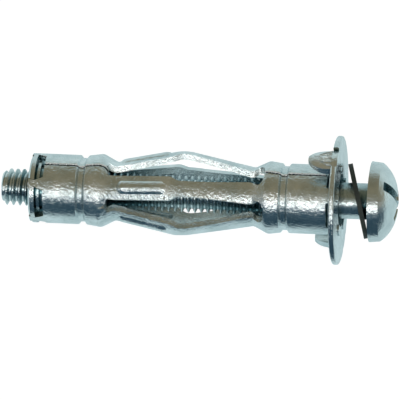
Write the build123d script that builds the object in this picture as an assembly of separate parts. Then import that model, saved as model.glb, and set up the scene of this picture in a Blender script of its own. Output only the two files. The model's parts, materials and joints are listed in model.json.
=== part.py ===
"""Metal hollow-wall anchor (M4 expanding-sleeve wall plug) with its machine screw and washer.

A sheet-steel sleeve with five slotted legs is locked by tabs to a threaded nut at one end and to a
round collar plate with two anti-turn prongs at the other. A pan-head screw runs through the plate and
the sleeve into the nut, and carries a loose washer under its head.

Every piece is drawn on the screw's axis: X runs along the axis towards the head, and X = 0 is the
collar plate's wall-side face. Z points to the sleeve's seam and the upper prong. The finished pieces
are then laid down as the anchor rests on a table, on the plate's notch corners and the nut's rim.
All sizes are in millimetres.
"""

import os
from math import atan2, cos, degrees, dist, radians, sin, sqrt, tan

from build123d import *

# Overall sizes
ANCHOR_LENGTH = 32.5  # collar plate's wall-side face to the nut's outer face
SLEEVE_RADIUS = 3.7  # fits an 8 mm hole
SHEET = 0.6  # thickness of the sleeve's steel
COLLAR_RADIUS = 6.85
PLATE = 0.6  # thickness of the collar plate
EDGE_ROUND = 0.2  # rounding of the plate's rim and the nut's outer edge
FIT = 0.04  # radial running clearance and the clearance round each tab

# Screw, M4 x 0.7
THREAD_DIAMETER = 3.92
SHANK_RELIEF = 0.07  # how much thinner the bare shank is than the thread
SCREW_PROJECTION = 3.2  # screw tip beyond the nut
HEAD_GAP = 3.2  # plate's outer face to the underside of the head
BARE_SHANK = 8.0  # unthreaded length under the head
TIP_CHAMFER = 0.45
HEAD_DIAMETER = 8.6
HEAD_HEIGHT = 2.9
HEAD_WALL = 1.15  # height of the nearly straight side of the head
HEAD_DRAFT = 0.12  # how much the side draws in over that height
DOME_SHOULDER = (0.8, -0.6)  # (x, radius) direction in which the dome leaves that side
DRIVE_ANGLE = 16.0  # the driving slot's end, from Z towards -Y
DRIVE_WIDTH = 1.0
DRIVE_DEPTH = 1.3
CROSS_SPAN = 4.2
CROSS_WIDTH = 0.95
CROSS_DEPTH = 2.0
CROSS_TAPER = 12.0  # degrees that each wall of the cross leans

# Legs and slots of the sleeve
LEG_COUNT = 5
NUT_COLLAR = 7.55  # nut's outer face to the start of the slots
NUT_CREASE_RUN = 1.55  # start of the slots to the nut-side crease
WIDE_ARM = 7.2  # nut-side crease to the leg's fold
PLATE_COLLAR = 7.3  # collar plate to the end of the slots
PLATE_CREASE_RUN = 1.3  # end of the slots to the collar-side crease
CREASE_CLEARANCE = 0.56  # thread to the inside of the creases
CREASE_ROUND = 0.45
APEX_RISE = 0.95  # how far the legs' folds stand proud of the sleeve
APEX_ROUND = 5.0
BULGE_ROUND = 0.75
NUT_BULGE_RISE = 0.22
PLATE_BULGE_RISE = 0.18
PLATE_BULGE_INSET = 0.25  # end of the slots to the swelling
LEG_WIDTH = 2.56  # the wide arm, on the nut side
FOLD_WIDTH = 1.65  # the narrow place that makes the leg fold
ROOT_WIDTH = 2.3  # the collar-side arm where it meets its crease
ROOT_FLARE = 0.05  # slope of that arm's edge there
NECK_WIDTH = 1.74  # waist between the collar-side crease and the slot's round end
NECK_RUN = 0.58  # collar-side crease to that waist

# Stiffening rib pressed outwards along each wide arm
RIB_LENGTH = 5.6
RIB_WIDTH = 1.25
RIB_HEIGHT = 0.22
RIB_MARGIN = 0.35  # from the nut-side crease to the rib's end
RIB_TAPER_RUN = 1.4  # rib's end to the narrow fold
FOLD_RUN = 1.0  # how far the narrow width runs past the fold
RIB_LEAST_HOLLOW = 0.1  # least radius of the hollow under a rib

# Beads rolled inwards round both collars
BEAD_WIDTH = 0.95
BEAD_FLAT = 0.5
BEAD_DEPTH = 0.3
BEAD_ROUND = 0.1
NUT_BEAD_GAP = 0.8  # end of the nut's barrel to the middle of its bead
PLATE_BEAD_INSET = 5.25  # collar plate to the middle of the other bead

# Seam and tabs of the rolled sheet
SEAM_GAP = 0.2
NUT_TAB_LENGTH = 0.95  # free length, from the sleeve's edge to the nut's rim
NUT_TAB_ROOT = 1.45
NUT_TAB_WAIST = 0.7
NUT_TAB_TIP = 1.15
PLATE_TAB_LENGTH = 0.65  # free length, from the sleeve's edge to the plate
PLATE_TAB_ROOT = 1.75
PLATE_TAB_WIDTH = 1.05
RIVET_WIDTH = 1.35  # peened end of each tab on the plate's outer face
RIVET_HEIGHT = 0.14
RIVET_SPREAD = 0.2  # how far the peened end spreads outwards along the radius
RIVET_ROUND = 0.2

# Collar plate
HOLE_LAND = 0.25  # sleeve's inside to the edge of the plate's hole
PRONG_COUNT = 2
PRONG_LENGTH = 2.5
PRONG_ROOT = 2.6
PRONG_TIP = 0.5
PRONG_TIP_FLARE = 1.4  # slope of a prong's edge at its tip
PRONG_INSET = 0.3  # plate's rim to the outside of a prong
PRONG_CURVE = 2.4  # radius of the prong's gutter-like section
PRONG_LEAN = 6.0  # degrees that the prongs lean inwards
NOTCH_WIDTH = 2.68

# Nut
NUT_LENGTH = 4.75
NUT_RIM = 0.65
NUT_GROOVE_DEPTH = 0.46
NUT_GROOVE = 0.15
NUT_BAND = 0.3
NUT_CHAMFER = 0.25

# Washer, loose on the shank and leaning against the head
WASHER_DIAMETER = 8.1
WASHER_PLAY = 0.48  # how much wider its hole is than the thread
WASHER_THICKNESS = 0.5
WASHER_LEAN = 15.6  # degrees from square
WASHER_LEAN_SIDE = 70.0  # the side that leans away from the head, from Z towards Y
WASHER_GAP = 0.02  # to the head at the nearest point

# Places along the axis and radii that follow from the sizes above
HEAD_X = PLATE + HEAD_GAP
THREAD_RADIUS = THREAD_DIAMETER / 2
SLEEVE_BORE = SLEEVE_RADIUS - SHEET
CREASE_RADIUS = THREAD_RADIUS + CREASE_CLEARANCE + SHEET
APEX_RADIUS = SLEEVE_RADIUS + APEX_RISE
NUT_FACE_X = -ANCHOR_LENGTH
NUT_RIM_X = NUT_FACE_X + NUT_RIM
NUT_END_X = NUT_FACE_X + NUT_LENGTH
SLEEVE_START_X = NUT_RIM_X + NUT_TAB_LENGTH
SLEEVE_END_X = -PLATE_TAB_LENGTH
SLOT_START_X = NUT_FACE_X + NUT_COLLAR
SLOT_END_X = -PLATE_COLLAR
NUT_CREASE_X = SLOT_START_X + NUT_CREASE_RUN
PLATE_CREASE_X = SLOT_END_X - PLATE_CREASE_RUN
APEX_X = NUT_CREASE_X + WIDE_ARM
RIVET_X = PLATE + RIVET_HEIGHT
LEG_ANGLES = [360 / LEG_COUNT * (number + 0.5) for number in range(LEG_COUNT)]
HALF_PITCH = SLEEVE_RADIUS * sin(radians(180 / LEG_COUNT))
FAR = 4 * COLLAR_RADIUS  # well outside the anchor, for cutting tools
TINY = 0.01
ROUND_SHARE = 0.45  # most of the shorter side of a corner that its rounding may use


def about_axis(shape, angle):
    """The shape turned about the screw's axis, from Z towards -Y."""
    return Rotation(angle, 0, 0) * shape


def turned(points):
    """A solid of revolution about the screw's axis, from (x, radius) points."""
    return revolve(make_face(Polyline(*points, close=True)), Axis.X)


def ring(start, end, inner, outer):
    """A plain tube along the screw's axis."""
    return turned([(start, inner), (end, inner), (end, outer), (start, outer)])


def raised(outline, low, high):
    """A flat (x, y) outline as a prism from z = low to z = high."""
    return extrude(Plane.XY.offset(low) * make_face(outline), high - low)


def mirrored_outline(side):
    """Close a curve on the +Y side with its mirror image in the XZ plane."""
    other = mirror(side, Plane.XZ)
    return [
        side,
        other,
        Line(side @ 0, other @ 0),
        Line(side @ 1, other @ 1),
    ]


def bead(centre):
    """Outer (x, radius, rounding) points of one rolled bead."""
    lip = BEAD_WIDTH / 2
    flat = BEAD_FLAT / 2
    floor = SLEEVE_RADIUS - BEAD_DEPTH
    return [
        (centre - lip, SLEEVE_RADIUS, BEAD_ROUND),
        (centre - flat, floor, BEAD_ROUND),
        (centre + flat, floor, BEAD_ROUND),
        (centre + lip, SLEEVE_RADIUS, BEAD_ROUND),
    ]


def offset_inwards(points, distance):
    """The same (x, radius, rounding) corners moved inwards by a sheet's thickness."""
    last = len(points) - 1
    moved = []
    for number, (x, radius, rounding) in enumerate(points):
        before = points[max(number - 1, 0)]
        after = points[min(number + 1, last)]
        come = atan2(radius - before[1], x - before[0])
        go = atan2(after[1] - radius, after[0] - x)
        if number == 0:
            come = go
        if number == last:
            go = come
        half_turn = (go - come) / 2
        along = (go + come) / 2
        reach = distance / cos(half_turn)
        inner_round = rounding + (distance if half_turn > 0 else -distance)
        sides = [dist((x, radius), end[:2]) for end in (before, after) if end[:2] != (x, radius)]
        most = ROUND_SHARE * min(sides) / max(tan(abs(half_turn)), TINY)
        inner_round = max(min(inner_round, most), TINY)
        moved.append((x + reach * sin(along), radius - reach * cos(along), inner_round))
    return moved


def rounded_line(points):
    """A line through (x, radius) corners with each inner corner rounded."""
    path = [(x, radius) for x, radius, _ in points]
    return FilletPolyline(*path, radius=[rounding for _, _, rounding in points[1:-1]])


def sleeve_wall():
    """The sleeve's sheet as a solid of revolution, from the nut's outer face to the riveted tabs."""
    outer = [
        (NUT_FACE_X, SLEEVE_RADIUS, 0),
        *bead(NUT_END_X + NUT_BEAD_GAP),
        (SLOT_START_X, SLEEVE_RADIUS + NUT_BULGE_RISE, BULGE_ROUND),
        (NUT_CREASE_X, CREASE_RADIUS, CREASE_ROUND),
        (APEX_X, APEX_RADIUS, APEX_ROUND),
        (PLATE_CREASE_X, CREASE_RADIUS, CREASE_ROUND),
        (SLOT_END_X + PLATE_BULGE_INSET, SLEEVE_RADIUS + PLATE_BULGE_RISE, BULGE_ROUND),
        *bead(-PLATE_BEAD_INSET),
        (RIVET_X, SLEEVE_RADIUS, 0),
    ]
    inner = offset_inwards(outer, SHEET)
    outside = rounded_line(outer)
    inside = rounded_line(inner)
    ends = [Line(outside @ 0, inside @ 0), Line(outside @ 1, inside @ 1)]
    return revolve(make_face([outside, inside, *ends]), Axis.X)


def leg_outline():
    """One leg between the collars, seen square on, as a closed (x, y) outline."""
    wide = LEG_WIDTH / 2
    fold = FOLD_WIDTH / 2
    root = ROOT_WIDTH / 2
    neck = NECK_WIDTH / 2
    start_round = HALF_PITCH - wide
    rib_end = NUT_CREASE_X + RIB_MARGIN + RIB_LENGTH
    start_arc = RadiusArc(
        (SLOT_START_X, HALF_PITCH),
        (SLOT_START_X + start_round, wide),
        start_round,
    )
    wide_arm = Line(start_arc @ 1, (rib_end, wide))
    taper = Spline(
        wide_arm @ 1,
        (rib_end + RIB_TAPER_RUN, fold),
        tangents=[(1, 0), (1, 0)],
    )
    narrow_arm = Line(taper @ 1, (APEX_X + FOLD_RUN, fold))
    widen = Spline(
        narrow_arm @ 1,
        (PLATE_CREASE_X - CREASE_ROUND, root),
        tangents=[(1, 0), (1, ROOT_FLARE)],
    )
    waist = Spline(
        widen @ 1,
        (PLATE_CREASE_X + NECK_RUN, neck),
        (SLOT_END_X, HALF_PITCH),
        tangents=[(1, 0), (0, 1)],
    )
    side = Wire([start_arc, wide_arm, taper, narrow_arm, widen, waist])
    return mirrored_outline(side)


def tab_outline(edge_x, root, waist_x, waist, tip_x, tip):
    """A tab that narrows from the sleeve's edge to its waist and widens to its tip."""
    step = waist_x - edge_x
    side = Wire(
        [
            Line((edge_x - step, root / 2), (edge_x, root / 2)),
            Line((edge_x, root / 2), (waist_x, waist / 2)),
            Line((waist_x, waist / 2), (tip_x, tip / 2)),
        ]
    )
    return mirrored_outline(side)


def nut_tab_outline(clearance=0.0):
    """The dovetail tab that locks the sleeve in the nut's rim."""
    return tab_outline(
        SLEEVE_START_X,
        NUT_TAB_ROOT + 2 * clearance,
        NUT_RIM_X,
        NUT_TAB_WAIST + 2 * clearance,
        NUT_FACE_X,
        NUT_TAB_TIP + 2 * clearance,
    )


def tab_floor(width):
    """Height of a flat notch floor that clears the inside of a tab of this width."""
    return sqrt(SLEEVE_BORE**2 - (width / 2) ** 2) - FIT


def around_legs(prism):
    """Copies of a prism that points along Z, one at each leg."""
    return [about_axis(prism, angle) for angle in LEG_ANGLES]


def rib_capsule(radius, depth):
    """A rounded bar under the outer surface of the wide arm, at the +Z side."""
    run = APEX_X - NUT_CREASE_X
    rise = APEX_RADIUS - CREASE_RADIUS
    slope = atan2(rise, run)
    middle = RIB_MARGIN + RIB_LENGTH / 2
    x = NUT_CREASE_X + middle * cos(slope) + depth * sin(slope)
    z = CREASE_RADIUS + middle * sin(slope) - depth * cos(slope)
    length = RIB_LENGTH - RIB_WIDTH
    bar = Rotation(0, 90, 0) * Cylinder(radius, length)
    bar = bar + Pos(-length / 2, 0, 0) * Sphere(radius)
    bar = bar + Pos(length / 2, 0, 0) * Sphere(radius)
    return Pos(x, 0, z) * (Rotation(0, -degrees(slope), 0) * bar)


def build_sleeve():
    """The rolled sleeve: two collars, five ribbed legs, tabs at both ends and the butt seam."""
    wall = sleeve_wall()
    legs = around_legs(raised(leg_outline(), 0, FAR))
    nut_tabs = around_legs(raised(nut_tab_outline(), 0, FAR))
    plate_tab = tab_outline(
        SLEEVE_END_X,
        PLATE_TAB_ROOT,
        0,
        PLATE_TAB_WIDTH,
        RIVET_X + TINY,
        PLATE_TAB_WIDTH,
    )
    plate_tabs = around_legs(raised(plate_tab, 0, FAR))
    slots = ring(SLOT_START_X, SLOT_END_X, TINY, FAR / 2) - legs
    nut_windows = ring(NUT_FACE_X - SHEET, SLEEVE_START_X, TINY, FAR / 2) - nut_tabs
    plate_windows = ring(SLEEVE_END_X, RIVET_X + SHEET, TINY, FAR / 2) - plate_tabs
    sleeve = wall - slots - nut_windows - plate_windows

    # each peened tab end spreads over the plate's outer face
    rivet_depth = SHEET + RIVET_SPREAD
    rivet = Box(RIVET_HEIGHT, RIVET_WIDTH, rivet_depth)
    rivet = fillet(rivet.edges().filter_by(Axis.X), RIVET_ROUND)
    rivet = Pos(PLATE + RIVET_HEIGHT / 2, 0, SLEEVE_BORE + rivet_depth / 2) * rivet
    sleeve = sleeve + around_legs(rivet)

    # the rib stands proud outside, with its hollow inside
    half = RIB_WIDTH / 2
    radius = (half**2 + RIB_HEIGHT**2) / (2 * RIB_HEIGHT)
    depth = radius - RIB_HEIGHT
    arm = [(NUT_CREASE_X, CREASE_RADIUS, 0), (APEX_X, APEX_RADIUS, 0)]
    (low_x, low_radius, _), (high_x, high_radius, _) = offset_inwards(arm, SHEET / 2)
    core = turned([(low_x, 0), (low_x, low_radius), (high_x, high_radius), (high_x, 0)])
    ribs = around_legs(rib_capsule(radius, depth) - core)
    sleeve = sleeve + ribs
    hollow = radius - SHEET
    if hollow > RIB_LEAST_HOLLOW:
        sleeve = sleeve - around_legs(rib_capsule(hollow, depth))

    # the butt seam runs along both collars in line with one slot
    for start, end in ((NUT_FACE_X, NUT_CREASE_X), (PLATE_CREASE_X, RIVET_X)):
        seam = Box(end - start, SEAM_GAP, 2 * SLEEVE_RADIUS)
        sleeve = sleeve - Pos((start + end) / 2, 0, SLEEVE_RADIUS) * seam
    return sleeve


def build_nut():
    """The threaded end: a rim with dovetail notches and a barrel inside the sleeve."""
    bore = THREAD_RADIUS + FIT
    barrel = SLEEVE_BORE - FIT
    groove = barrel - NUT_GROOVE_DEPTH
    groove_end = NUT_RIM_X + NUT_GROOVE
    band_end = groove_end + NUT_BAND
    body = turned(
        [
            (NUT_FACE_X, bore + NUT_CHAMFER),
            (NUT_FACE_X, SLEEVE_RADIUS - EDGE_ROUND),
            (NUT_FACE_X + EDGE_ROUND, SLEEVE_RADIUS),
            (NUT_RIM_X, SLEEVE_RADIUS),
            (NUT_RIM_X, groove),
            (groove_end, groove),
            (groove_end, barrel),
            (band_end, barrel),
            (band_end, groove),
            (SLEEVE_START_X, groove),
            (SLEEVE_START_X, barrel),
            (NUT_END_X - NUT_CHAMFER, barrel),
            (NUT_END_X, barrel - NUT_CHAMFER),
            (NUT_END_X, bore + NUT_CHAMFER),
            (NUT_END_X - NUT_CHAMFER, bore),
            (NUT_FACE_X + NUT_CHAMFER, bore),
        ]
    )
    notch = raised(nut_tab_outline(FIT), tab_floor(NUT_TAB_TIP), FAR)
    notch = notch & Pos(NUT_RIM_X, 0, 0) * Box(2 * (NUT_RIM + TINY), FAR, 2 * FAR)
    return body - around_legs(notch)


def prong_blank():
    """The whole gutter-shaped bar that a prong is cut from, as (outer, inner) round bars."""
    bars = []
    for radius in (PRONG_CURVE, PRONG_CURVE - PLATE):
        bar = Rotation(0, 90, 0) * Cylinder(radius, FAR)
        bar = Rotation(0, -PRONG_LEAN, 0) * bar
        bars.append(Pos(0, 0, COLLAR_RADIUS - PRONG_INSET - PRONG_CURVE) * bar)
    return bars


def build_collar_plate():
    """The round plate, with its hole, tab slots and two prongs bent towards the wall."""
    hole = SLEEVE_BORE - HOLE_LAND
    section = FilletPolyline(
        (0, hole),
        (0, COLLAR_RADIUS),
        (PLATE, COLLAR_RADIUS),
        (PLATE, hole),
        radius=EDGE_ROUND,
    )
    plate = revolve(make_face([section, Line(section @ 1, section @ 0)]), Axis.X)

    floor = tab_floor(PLATE_TAB_WIDTH)
    slot_height = SLEEVE_RADIUS + FIT - floor
    slot = Box(FAR, PLATE_TAB_WIDTH + 2 * FIT, slot_height)
    plate = plate - around_legs(Pos(0, 0, floor + slot_height / 2) * slot)

    outer_bar, inner_bar = prong_blank()
    root = PRONG_ROOT / 2
    side = Wire(
        [
            Line((PLATE / 2, root), (-PLATE / 2, root)),
            Spline(
                (-PLATE / 2, root),
                (-PRONG_LENGTH, PRONG_TIP / 2),
                tangents=[(-1, 0), (-1, -PRONG_TIP_FLARE)],
            ),
        ]
    )
    blank = raised(mirrored_outline(side), SLEEVE_RADIUS, FAR)
    prong = (outer_bar - inner_bar) & blank
    notch_z = COLLAR_RADIUS - PRONG_INSET - PRONG_CURVE + FAR / 2
    notch = Pos(0, 0, notch_z) * Box(FAR, NOTCH_WIDTH, FAR) - outer_bar
    for number in range(PRONG_COUNT):
        angle = 360 * number / PRONG_COUNT
        plate = plate - about_axis(notch, angle)
        plate = plate + about_axis(prong, angle)
    return plate


def build_screw():
    """The pan-head machine screw with a slot and a cross in its head; its thread is a plain bar."""
    tip_x = NUT_FACE_X - SCREW_PROJECTION
    thread_end = HEAD_X - BARE_SHANK
    thread = THREAD_RADIUS
    shank = THREAD_RADIUS - SHANK_RELIEF / 2
    body = turned(
        [
            (tip_x, 0),
            (tip_x, thread - TIP_CHAMFER),
            (tip_x + TIP_CHAMFER, thread),
            (thread_end, thread),
            (thread_end + TIP_CHAMFER, shank),
            (HEAD_X + TINY, shank),
            (HEAD_X + TINY, 0),
        ]
    )
    head = HEAD_DIAMETER / 2
    top_x = HEAD_X + HEAD_HEIGHT
    shoulder = (HEAD_X + HEAD_WALL, head - HEAD_DRAFT)
    wall = Line((HEAD_X, head), shoulder)
    dome = Spline(shoulder, (top_x, 0), tangents=[DOME_SHOULDER, (0, -1)])
    base = Line((HEAD_X, 0), (HEAD_X, head))
    centre = Line((top_x, 0), (HEAD_X, 0))
    cap = revolve(make_face([base, wall, dome, centre]), Axis.X)
    drive = Pos(top_x, 0, 0) * Box(2 * DRIVE_DEPTH, DRIVE_WIDTH, FAR)
    wing = extrude(
        Plane.YZ.offset(top_x + TINY) * Rectangle(CROSS_WIDTH, CROSS_SPAN),
        -CROSS_DEPTH,
        taper=CROSS_TAPER,
    )
    cap = cap - [about_axis(drive, DRIVE_ANGLE), about_axis(wing, DRIVE_ANGLE)]
    cap = cap - about_axis(wing, DRIVE_ANGLE + 90)
    return body + cap


def build_washer():
    """The flat washer, leaning on the shank until it meets the head."""
    washer = Rotation(0, 90, 0) * Cylinder(WASHER_DIAMETER / 2, WASHER_THICKNESS)
    hole = Rotation(0, 90, 0) * Cylinder(THREAD_RADIUS + WASHER_PLAY / 2, FAR)
    washer = washer - hole
    lean = radians(WASHER_LEAN)
    reach = WASHER_DIAMETER / 2 * sin(lean) + WASHER_THICKNESS / 2 * cos(lean)
    washer = Rotation(0, -WASHER_LEAN, 0) * washer
    washer = about_axis(washer, -WASHER_LEAN_SIDE)
    return Pos(HEAD_X - WASHER_GAP - reach, 0, 0) * washer


def lay_down(pieces):
    """Lay the pieces as the anchor rests, with the origin under the middle of its box."""
    corner_depth = sqrt(COLLAR_RADIUS**2 - (NOTCH_WIDTH / 2) ** 2)
    tilt = degrees(atan2(corner_depth - SLEEVE_RADIUS, ANCHOR_LENGTH))
    laid = {name: Rotation(0, -tilt, 0) * shape for name, shape in pieces.items()}
    box = Compound(list(laid.values())).bounding_box()
    home = Pos(-box.center().X, -box.center().Y, -box.min.Z)
    print(f"tilt {tilt:.4f} degrees, axis origin at {tuple(round(v, 4) for v in home.position)}")
    return {name: home * shape for name, shape in laid.items()}


pieces = {
    "sleeve": build_sleeve(),
    "collar_plate": build_collar_plate(),
    "nut": build_nut(),
    "screw": build_screw(),
    "washer": build_washer(),
}
os.makedirs("parts", exist_ok=True)
for name, shape in lay_down(pieces).items():
    export_step(shape, f"parts/{name}.step")
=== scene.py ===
"""The looks of a metal hollow-wall anchor on a white table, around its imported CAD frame."""
import json
from math import cos, pi, radians, sin

import bmesh
import bpy
from mathutils import Matrix, Vector
from mathutils.bvhtree import BVHTree


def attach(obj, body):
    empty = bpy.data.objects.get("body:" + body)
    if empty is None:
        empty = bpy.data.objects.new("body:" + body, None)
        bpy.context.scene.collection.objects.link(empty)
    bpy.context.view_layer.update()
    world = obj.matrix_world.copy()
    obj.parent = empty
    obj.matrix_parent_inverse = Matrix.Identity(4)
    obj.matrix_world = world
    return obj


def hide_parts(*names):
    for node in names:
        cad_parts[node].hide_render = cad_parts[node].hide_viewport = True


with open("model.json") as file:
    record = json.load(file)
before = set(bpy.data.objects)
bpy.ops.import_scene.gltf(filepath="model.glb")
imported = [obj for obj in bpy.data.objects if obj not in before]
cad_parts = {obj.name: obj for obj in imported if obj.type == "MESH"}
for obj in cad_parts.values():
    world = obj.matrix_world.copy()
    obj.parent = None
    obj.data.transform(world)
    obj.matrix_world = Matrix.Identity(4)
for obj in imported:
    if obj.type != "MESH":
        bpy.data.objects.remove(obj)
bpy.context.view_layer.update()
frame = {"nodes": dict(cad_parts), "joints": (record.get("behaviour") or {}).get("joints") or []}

MM = 0.001
JOINT = next(joint for joint in frame["joints"] if joint["name"] == "screw_turn")
AXIS = Vector(JOINT["axis"]).normalized()
ORIGIN = Vector(JOINT["pos_m"])
SIDE = Vector((0, 1, 0))
UP = AXIS.cross(SIDE)

# the screw's thread, in millimetres along the axis from the collar plate's wall-side face
TIP_X = -35.7
THREAD_END_X = -4.2
THREAD_RADIUS = 1.96
SHANK_RADIUS = 1.925
PITCH = 0.7
THREAD_DEPTH = 0.42
TIP_CHAMFER = 0.45
THREAD_SIDES = 72
THREAD_PHASES = (0.0, 0.0625, 0.17, 0.27, 0.375, 0.5, 0.625, 0.73, 0.83, 0.9375)
CREST_HALF = 0.0625  # half the crest's width, as a share of the pitch
ROOT_START = 0.375  # crest's middle to the root, as a share of the pitch
THREAD_OVERLAP = 0.5  # how far the thread's last ring runs into the shank
SHANK_COVER = 0.002  # how far that ring stays under the shank's surface
CUT_MARGIN = 0.01
MERGE_DISTANCE = 0.002

# fine detail on the sheet pieces, in millimetres and degrees
FAR_RADIUS = 9.0
TUBE_SIDES = 8
SEAM_RUNS = ((-30.8, -23.6), (-8.4, -0.8))
SEAM_SIDE = radians(3.5)
SEAM_STAND = 0.03
SEAM_STEP = 0.09
SEAM_BURR_ANGLE = radians(-2.0)
BEAD_THICK = 0.1
BEAD_WAVES = ((0.035, 1.6), (0.015, 5.3))  # height and rate of the swelling along the burr
CREASES = ((-9, 1.3), (-4.5, 1.9), (0, 1.4), (4.5, 1.8), (9, 1.2))
CREASE_START = -0.05
CREASE_STEPS = 14
CREASE_CONVERGE = 0.45
CREASE_THICK = 0.15
CREASE_TAPER = 0.75
CREASE_WANDER = radians(0.5)
CREASE_LEAST_RADIUS = 5.0

# the metal's grain, as noise scales, and its depths in millimetres
PATCH_SCALE = 420
GLOSS_SCALE = 900
DIMPLE_SCALE = 3200
DIMPLE_DEPTH = 0.1
FIBRE_SCALE = 2500
FIBRE_DEPTH = 0.03
# painted shade in recesses: how far the occlusion reaches, its samples, and its dark teal colour
PAINTED_SHADE_REACH = 2.2
PAINTED_SHADE_SAMPLES = 8
PAINTED_SHADE_COLOUR = (66, 118, 126)

# the camera, with angles in degrees and lengths in millimetres except where a line says otherwise
CAMERA_FACING = 43.0  # from UP towards the front
CAMERA_LEAN = 8.0  # towards the head
CAMERA_SLOPE = 2.4  # roll in the picture
VIEW_MIDDLE = -14.5
VIEW_DROP = 0.58
CAMERA_DISTANCE = 0.553  # metres
CAMERA_LENS = 468
CAMERA_SENSOR = 36

# the stage: colours are 0-255 sRGB in SKY and CARD_COLOUR, and linear in the floor's two
SKY_STRENGTH = 1.2
SKY = (
    (0.0, (52, 78, 94)),
    (0.07, (70, 94, 106)),
    (0.15, (165, 168, 165)),
    (0.22, (170, 168, 160)),
    (0.32, (128, 124, 108)),
    (0.45, (122, 114, 92)),
    (0.68, (128, 122, 104)),
    (0.80, (190, 205, 205)),
    (1.0, (200, 215, 216)),
)
FLOOR_HALF = 2.0
FLOOR_MATT = (0.25, 0.25, 0.25, 1)
FLOOR_SEEN_BY_METAL = (0.50, 0.64, 0.67, 1)
FLOOR_SEEN_BY_CAMERA = (0.95, 0.95, 0.95, 1)
CARD_HALF = 0.5
CARD_FRONT = -0.5
CARD_BACK = -0.0065
CARD_HEIGHT = 0.0002
CARD_COLOUR = (52, 76, 90)


def srgb(red, green, blue):
    """A colour given as 0-255 sRGB, in linear light."""
    def channel(value):
        value /= 255
        return value / 12.92 if value <= 0.04045 else ((value + 0.055) / 1.055) ** 2.4
    return (channel(red), channel(green), channel(blue), 1.0)


def place(x, radius, angle):
    """A point from millimetres along the axis, a radius, and an angle from UP towards -Y."""
    out = UP * cos(angle) - SIDE * sin(angle)
    return ORIGIN + AXIS * (x * MM) + out * (radius * MM)


def link(name, mesh):
    """A new object that holds the mesh, in the scene."""
    piece = bpy.data.objects.new(name, mesh)
    bpy.context.scene.collection.objects.link(piece)
    return piece


# Materials

def new_material(name):
    """A new material, with its nodes, its links and its Principled shader."""
    material = bpy.data.materials.new(name)
    material.use_nodes = True
    nodes = material.node_tree.nodes
    return material, nodes, material.node_tree.links, nodes["Principled BSDF"]


def add_noise(nodes, links, coordinates, scale, detail, roughness=0.5):
    """A noise texture's value at the coordinates."""
    noise = nodes.new("ShaderNodeTexNoise")
    noise.inputs["Scale"].default_value = scale
    noise.inputs["Detail"].default_value = detail
    noise.inputs["Roughness"].default_value = roughness
    links.new(coordinates, noise.inputs["Vector"])
    return noise.outputs["Fac"]


def add_range(nodes, links, value, low, high, from_low=0.3, from_high=0.7):
    """The value, spread from one range to another and held at its ends."""
    spread = nodes.new("ShaderNodeMapRange")
    spread.inputs["From Min"].default_value = from_low
    spread.inputs["From Max"].default_value = from_high
    spread.inputs["To Min"].default_value = low
    spread.inputs["To Max"].default_value = high
    links.new(value, spread.inputs["Value"])
    return spread.outputs["Result"]


def zinc(name, light, dark, rough_low, rough_high, dimple):
    """Bright zinc plating: patchy tone, patchy gloss, small dimples in the plated surface, and
    painted shade that turns the colour dark teal in recesses.
    """
    material, nodes, links, shader = new_material(name)
    shader.inputs["Metallic"].default_value = 1.0
    coordinates = nodes.new("ShaderNodeTexCoord").outputs["Object"]
    patches = add_noise(nodes, links, coordinates, PATCH_SCALE, 4)
    tone = nodes.new("ShaderNodeValToRGB")
    tone.color_ramp.elements[0].position = 0.35
    tone.color_ramp.elements[0].color = dark
    tone.color_ramp.elements[1].position = 0.65
    tone.color_ramp.elements[1].color = light
    links.new(patches, tone.inputs["Fac"])
    # painted shade: ambient occlusion blends the base colour towards dark teal in recesses and
    # slots
    painted_shade_occlusion = nodes.new("ShaderNodeAmbientOcclusion")
    painted_shade_occlusion.samples = PAINTED_SHADE_SAMPLES
    painted_shade_occlusion.inputs["Distance"].default_value = PAINTED_SHADE_REACH * MM
    shade = nodes.new("ShaderNodeMix")
    shade.data_type = "RGBA"
    shade.inputs[6].default_value = srgb(*PAINTED_SHADE_COLOUR)
    openness = add_range(nodes, links, painted_shade_occlusion.outputs["AO"], 0.0, 1.0, 0.15, 0.70)
    links.new(openness, shade.inputs[0])
    links.new(tone.outputs["Color"], shade.inputs[7])
    links.new(shade.outputs[2], shader.inputs["Base Color"])
    gloss = add_noise(nodes, links, coordinates, GLOSS_SCALE, 3)
    roughness = add_range(nodes, links, gloss, rough_low, rough_high)
    links.new(roughness, shader.inputs["Roughness"])
    fine = add_noise(nodes, links, coordinates, DIMPLE_SCALE, 3, 0.6)
    bump = nodes.new("ShaderNodeBump")
    bump.inputs["Strength"].default_value = dimple
    bump.inputs["Distance"].default_value = DIMPLE_DEPTH * MM
    links.new(fine, bump.inputs["Height"])
    links.new(bump.outputs["Normal"], shader.inputs["Normal"])
    return material


def burr_painted_highlight():
    """The plating burr along a cut edge, whose near-white, half-metallic colour is a painted
    highlight.
    """
    material, _, _, shader = new_material("bead_material_painted_highlight")
    shader.inputs["Metallic"].default_value = 0.5
    shader.inputs["Roughness"].default_value = 0.2
    # painted highlight: a near-white colour, brighter than the sheet's zinc
    shader.inputs["Base Color"].default_value = srgb(236, 241, 243)
    return material


def fibre():
    """Matt black vulcanised fibre with a faint grain."""
    material, nodes, links, shader = new_material("black_fibre")
    coordinates = nodes.new("ShaderNodeTexCoord").outputs["Object"]
    grain = add_noise(nodes, links, coordinates, FIBRE_SCALE, 4, 0.7)
    tone = nodes.new("ShaderNodeValToRGB")
    tone.color_ramp.elements[0].color = srgb(28, 36, 35)
    tone.color_ramp.elements[1].color = srgb(62, 70, 66)
    links.new(grain, tone.inputs["Fac"])
    links.new(tone.outputs["Color"], shader.inputs["Base Color"])
    shader.inputs["Roughness"].default_value = 0.7
    bump = nodes.new("ShaderNodeBump")
    bump.inputs["Strength"].default_value = 0.5
    bump.inputs["Distance"].default_value = FIBRE_DEPTH * MM
    links.new(grain, bump.inputs["Height"])
    links.new(bump.outputs["Normal"], shader.inputs["Normal"])
    return material


# Pieces

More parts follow.
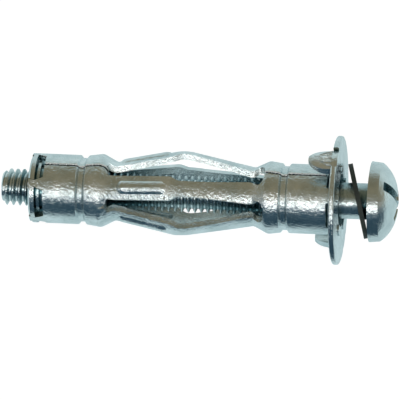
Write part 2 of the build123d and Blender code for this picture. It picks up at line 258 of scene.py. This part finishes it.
def thread_radius(phase):
    """Radius of the thread at a phase of 0-1 through one pitch, 0 at the crest's middle."""
    away = min(phase, 1 - phase)
    if away <= CREST_HALF:
        return THREAD_RADIUS
    if away >= ROOT_START:
        return THREAD_RADIUS - THREAD_DEPTH
    return THREAD_RADIUS - THREAD_DEPTH * (away - CREST_HALF) / (ROOT_START - CREST_HALF)


def thread_mesh():
    """The helical thread, from the chamfered tip to the run-out under the plain shank."""
    first = int(TIP_X / PITCH) - 2
    last = int(THREAD_END_X / PITCH) + 2
    mesh = bmesh.new()
    rings = []
    for step in range(THREAD_SIDES):
        angle = 2 * pi * step / THREAD_SIDES
        ring = []
        for turn in range(first, last):
            for phase in THREAD_PHASES:
                x = (turn + phase + step / THREAD_SIDES) * PITCH
                radius = thread_radius(phase)
                radius = min(radius, THREAD_RADIUS - TIP_CHAMFER + max(x - TIP_X, 0))
                run_out = (x - (THREAD_END_X - PITCH)) / PITCH
                if run_out > 0:
                    radius += (SHANK_RADIUS - SHANK_COVER - radius) * min(run_out, 1)
                x = min(max(x, TIP_X), THREAD_END_X + THREAD_OVERLAP)
                ring.append(mesh.verts.new(place(x, radius, -angle)))
        rings.append(ring)
    for number, ring in enumerate(rings):
        after = rings[(number + 1) % THREAD_SIDES]
        shift = len(THREAD_PHASES) if number == THREAD_SIDES - 1 else 0
        for row in range(len(ring) - 1 - shift):
            corners = [ring[row], ring[row + 1], after[row + 1 + shift], after[row + shift]]
            mesh.faces.new(corners)
    bmesh.ops.remove_doubles(mesh, verts=mesh.verts, dist=MERGE_DISTANCE * MM)
    bmesh.ops.recalc_face_normals(mesh, faces=mesh.faces)
    data = bpy.data.meshes.new("thread")
    mesh.to_mesh(data)
    mesh.free()
    return data


def build_screw(material):
    """The CAD screw's head and shank with a real helical thread in place of the plain bar."""
    source = frame["nodes"]["screw"].data
    mesh = bmesh.new()
    mesh.from_mesh(source)
    limit = (THREAD_END_X - CUT_MARGIN) * MM
    drop = [
        face for face in mesh.faces
        if min((vertex.co - ORIGIN).dot(AXIS) for vertex in face.verts) < limit
    ]
    bmesh.ops.delete(mesh, geom=drop, context="FACES")
    mesh.from_mesh(thread_mesh())
    data = bpy.data.meshes.new("machine_screw")
    mesh.to_mesh(data)
    mesh.free()
    data.materials.clear()
    data.materials.append(material)
    piece = link("machine_screw", data)
    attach(piece, "screw")
    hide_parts("screw")
    return piece


def surface_tree(node):
    """A tree for casting rays at a CAD node's mesh."""
    source = frame["nodes"][node].data
    corners = [vertex.co for vertex in source.vertices]
    return BVHTree.FromPolygons(corners, [face.vertices[:] for face in source.polygons])


def surface_radius(tree, x, angle):
    """Radius in millimetres at which a ray from outside meets the node, or None.

    It is negative where the ray passes through an opening and meets the far wall.
    """
    outside = place(x, FAR_RADIUS, angle)
    inwards = (place(x, 0, angle) - outside).normalized()
    spot, _, _, distance = tree.ray_cast(outside, inwards)
    return None if spot is None else FAR_RADIUS - distance / MM


def add_tube(mesh, path):
    """A thin tube through (x, radius, angle, thickness) places."""
    before = None
    for x, radius, angle, thick in path:
        ring = []
        for side in range(TUBE_SIDES):
            turn = 2 * pi * side / TUBE_SIDES
            height = radius + thick * cos(turn)
            ring.append(mesh.verts.new(place(x, height, angle + thick * sin(turn) / radius)))
        if before:
            for side in range(TUBE_SIDES):
                after = (side + 1) % TUBE_SIDES
                mesh.faces.new([before[side], before[after], ring[after], ring[side]])
        else:
            mesh.faces.new(ring)
        before = ring
    if before:
        mesh.faces.new(before)


def finish_tubes(mesh, name, material):
    """Turn the tubes into a smooth piece that rides on the anchor."""
    bmesh.ops.recalc_face_normals(mesh, faces=mesh.faces)
    for face in mesh.faces:
        face.smooth = True
    data = bpy.data.meshes.new(name)
    mesh.to_mesh(data)
    mesh.free()
    data.materials.append(material)
    piece = link(name, data)
    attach(piece, "anchor")


def build_seam(material):
    """The burr of plating along the sleeve's butt seam, as a row of small beads.

    Each run's end at a slot meets the far wall, so the burr passes inside the sleeve there and
    through the screw. This is an open fault.
    """
    tree = surface_tree("sleeve")
    mesh = bmesh.new()
    for start, end in SEAM_RUNS:
        path = []
        for number in range(int((end - start) / SEAM_STEP) + 1):
            x = start + number * SEAM_STEP
            radius = surface_radius(tree, x, SEAM_SIDE)
            thick = BEAD_THICK
            for height, rate in BEAD_WAVES:
                thick += height * sin(rate * number)
            if radius is not None:
                path.append((x, radius + SEAM_STAND, SEAM_BURR_ANGLE, thick))
        add_tube(mesh, path)
    finish_tubes(mesh, "seam_burr", material)


def build_creases(material):
    """Lengthwise creases that the bend leaves on the outside of each prong's root."""
    tree = surface_tree("collar_plate")
    mesh = bmesh.new()
    for prong in (0, pi):
        for number, (offset, length) in enumerate(CREASES):
            path = []
            for step in range(CREASE_STEPS + 1):
                share = step / CREASE_STEPS
                x = CREASE_START - length * share
                angle = prong + radians(offset) * (1 - CREASE_CONVERGE * share)
                angle += CREASE_WANDER * sin(3 * share * pi + number)
                radius = surface_radius(tree, x, angle)
                if radius is not None and radius > CREASE_LEAST_RADIUS:
                    thick = CREASE_THICK * (1 - CREASE_TAPER * share)
                    path.append((x, radius, angle, thick))
            add_tube(mesh, path)
    finish_tubes(mesh, "prong_creases", material)


def dress(node, material):
    """Give a CAD piece its material."""
    piece = frame["nodes"][node]
    piece.data.materials.clear()
    piece.data.materials.append(material)


# Stage

def build_camera():
    """Look at the anchor from above and in front, with the head end a little nearer."""
    facing = radians(CAMERA_FACING)
    lean = radians(CAMERA_LEAN)
    slope = radians(CAMERA_SLOPE)
    toward = AXIS * sin(lean) + (UP * cos(facing) - SIDE * sin(facing)) * cos(lean)
    along = (AXIS - toward * AXIS.dot(toward)).normalized()
    right = along * cos(slope) + toward.cross(along) * sin(slope)
    up = toward.cross(right)
    target = ORIGIN + AXIS * (VIEW_MIDDLE * MM) - up * (VIEW_DROP * MM)
    camera = bpy.data.objects.new("camera", bpy.data.cameras.new("camera"))
    bpy.context.scene.collection.objects.link(camera)
    rotation = Matrix((right, up, toward)).transposed()
    spot = Matrix.Translation(target + toward * CAMERA_DISTANCE)
    camera.matrix_world = spot @ rotation.to_4x4()
    camera.data.sensor_width = CAMERA_SENSOR
    camera.data.lens = CAMERA_LENS
    camera.data.clip_start = 0.01
    camera.data.clip_end = 10
    bpy.context.scene.camera = camera


def build_world():
    """White to the camera; a soft grey studio with a warm ceiling to everything else."""
    world = bpy.data.worlds.new("studio")
    bpy.context.scene.world = world
    world.use_nodes = True
    nodes = world.node_tree.nodes
    links = world.node_tree.links
    nodes.clear()
    output = nodes.new("ShaderNodeOutputWorld")
    direction = nodes.new("ShaderNodeTexCoord").outputs["Generated"]
    split = nodes.new("ShaderNodeSeparateXYZ")
    links.new(direction, split.inputs["Vector"])
    front = nodes.new("ShaderNodeMath")
    front.operation = "MULTIPLY"
    front.inputs[1].default_value = -1.0
    links.new(split.outputs["Y"], front.inputs[0])
    angle = nodes.new("ShaderNodeMath")
    angle.operation = "ARCTAN2"
    links.new(split.outputs["Z"], angle.inputs[0])
    links.new(front.outputs["Value"], angle.inputs[1])
    share = add_range(nodes, links, angle.outputs["Value"], 0.0, 1.0, 0.0, pi)
    ramp = nodes.new("ShaderNodeValToRGB")
    for element, (position, colour) in zip(ramp.color_ramp.elements, (SKY[0], SKY[-1])):
        element.position = position
        element.color = srgb(*colour)
    for position, colour in SKY[1:-1]:
        ramp.color_ramp.elements.new(position).color = srgb(*colour)
    links.new(share, ramp.inputs["Fac"])
    studio = nodes.new("ShaderNodeBackground")
    studio.inputs["Strength"].default_value = SKY_STRENGTH
    links.new(ramp.outputs["Color"], studio.inputs["Color"])
    white = nodes.new("ShaderNodeBackground")
    white.inputs["Color"].default_value = (1, 1, 1, 1)
    white.inputs["Strength"].default_value = 1.0
    mix = nodes.new("ShaderNodeMixShader")
    path = nodes.new("ShaderNodeLightPath")
    links.new(path.outputs["Is Camera Ray"], mix.inputs["Fac"])
    links.new(studio.outputs["Background"], mix.inputs[1])
    links.new(white.outputs["Background"], mix.inputs[2])
    links.new(mix.outputs["Shader"], output.inputs["Surface"])


def rectangle(name, half, front, back, height):
    """A level rectangle's mesh, centred on X = 0, in metres."""
    corners = [
        (-half, front, height), (half, front, height), (half, back, height), (-half, back, height),
    ]
    mesh = bpy.data.meshes.new(name)
    mesh.from_pydata(corners, [], [(0, 1, 2, 3)])
    return mesh


def build_floor():
    """A table top that is white to the camera and grey-teal to the metal, and keeps the shadow."""
    mesh = rectangle("floor", FLOOR_HALF, -FLOOR_HALF, FLOOR_HALF, 0)
    floor = link("floor", mesh)
    material = bpy.data.materials.new("white_table")
    material.use_nodes = True
    nodes = material.node_tree.nodes
    links = material.node_tree.links
    nodes.clear()
    output = nodes.new("ShaderNodeOutputMaterial")
    matt = nodes.new("ShaderNodeBsdfDiffuse")
    matt.inputs["Color"].default_value = FLOOR_MATT
    glow = nodes.new("ShaderNodeEmission")
    glow.inputs["Strength"].default_value = 1.0
    path = nodes.new("ShaderNodeLightPath")
    colour = nodes.new("ShaderNodeMix")
    colour.data_type = "RGBA"
    colour.inputs[6].default_value = FLOOR_SEEN_BY_METAL
    colour.inputs[7].default_value = FLOOR_SEEN_BY_CAMERA
    links.new(path.outputs["Is Camera Ray"], colour.inputs[0])
    links.new(colour.outputs[2], glow.inputs["Color"])
    total = nodes.new("ShaderNodeAddShader")
    links.new(matt.outputs["BSDF"], total.inputs[0])
    links.new(glow.outputs["Emission"], total.inputs[1])
    links.new(total.outputs["Shader"], output.inputs["Surface"])
    mesh.materials.append(material)


def add_softbox(name, elevation, distance, width, height, power, colour):
    """A long soft lamp, at an elevation from the front horizon, aimed at the anchor's middle."""
    lamp = bpy.data.lights.new(name, "AREA")
    lamp.shape = "RECTANGLE"
    lamp.size = width
    lamp.size_y = height
    lamp.energy = power
    lamp.color = colour[:3]
    piece = bpy.data.objects.new(name, lamp)
    bpy.context.scene.collection.objects.link(piece)
    target = ORIGIN + AXIS * (VIEW_MIDDLE * MM)
    away = Vector((0, -cos(elevation), sin(elevation)))
    piece.location = target + away * distance
    piece.rotation_euler = away.to_track_quat("Z", "Y").to_euler()


def add_dark_card():
    """A dark card flat on the table in front of the anchor, which only reflections see."""
    mesh = rectangle("dark_card", CARD_HALF, CARD_FRONT, CARD_BACK, CARD_HEIGHT)
    card = link("dark_card", mesh)
    material = bpy.data.materials.new("dark_card")
    material.use_nodes = True
    nodes = material.node_tree.nodes
    nodes.clear()
    output = nodes.new("ShaderNodeOutputMaterial")
    glow = nodes.new("ShaderNodeEmission")
    glow.inputs["Color"].default_value = srgb(*CARD_COLOUR)
    material.node_tree.links.new(glow.outputs["Emission"], output.inputs["Surface"])
    mesh.materials.append(material)
    card.visible_camera = False
    card.visible_diffuse = False
    card.visible_shadow = False


sheet_zinc = zinc("zinc_sheet", srgb(226, 233, 234), srgb(196, 208, 210), 0.13, 0.27, 0.8)
turned_zinc = zinc("zinc_turned", srgb(222, 230, 230), srgb(196, 206, 208), 0.14, 0.28, 0.45)
dress("sleeve", sheet_zinc)
dress("collar_plate", sheet_zinc)
dress("nut", turned_zinc)
dress("washer", fibre())
build_screw(turned_zinc)
build_seam(burr_painted_highlight())
build_creases(sheet_zinc)

build_camera()
build_world()
build_floor()
add_softbox("front_strip", radians(27), 0.45, 0.9, 0.055, 0.75, (1.0, 0.98, 0.96))
add_dark_card()
bpy.context.scene.view_settings.view_transform = "Standard"
